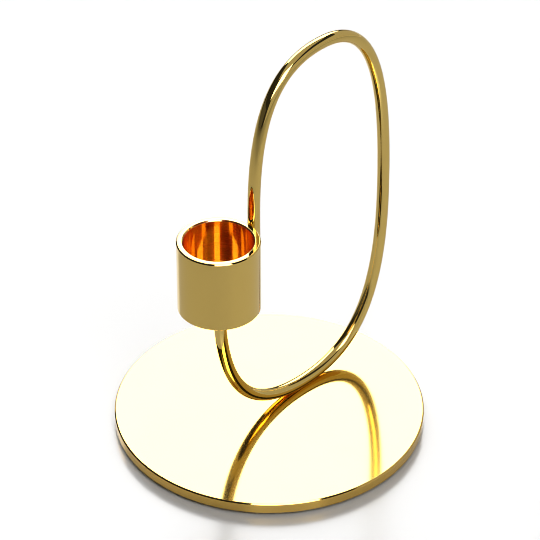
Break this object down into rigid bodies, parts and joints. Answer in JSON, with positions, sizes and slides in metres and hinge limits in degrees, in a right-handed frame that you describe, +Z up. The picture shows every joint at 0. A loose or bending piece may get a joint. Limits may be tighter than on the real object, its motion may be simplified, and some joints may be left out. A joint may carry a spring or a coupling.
{
  "type": "candle holder",
  "caption": "Polished brass candle holder: a round rod bent into a tall flat spiral loop stands on a round plate and carries a straight cup for a taper candle.",
  "frame": {"origin": "on the table, at the centre of the felt pad's underside, below the centre of the round plate", "axes": "+Z up, along the candle; X in the plane of the loop, with the cup towards -X; Y square to the loop"},
  "size_m": [0.1038, 0.1, 0.1338],
  "materials": {
    "polished_brass": "mirror polished",
    "braze_alloy": "polished",
    "screw_steel": "satin",
    "felt": "felted wool"
  },
  "bodies": {
    "root": {"base_plate": "polished_brass", "base_pad": "felt", "base_screws": "screw_steel", "spiral_rod": "polished_brass", "cup_sleeve": "polished_brass", "cup_floor": "polished_brass", "cup_rivet": "polished_brass", "braze_seam": "braze_alloy"}
  },
  "joints": []
}
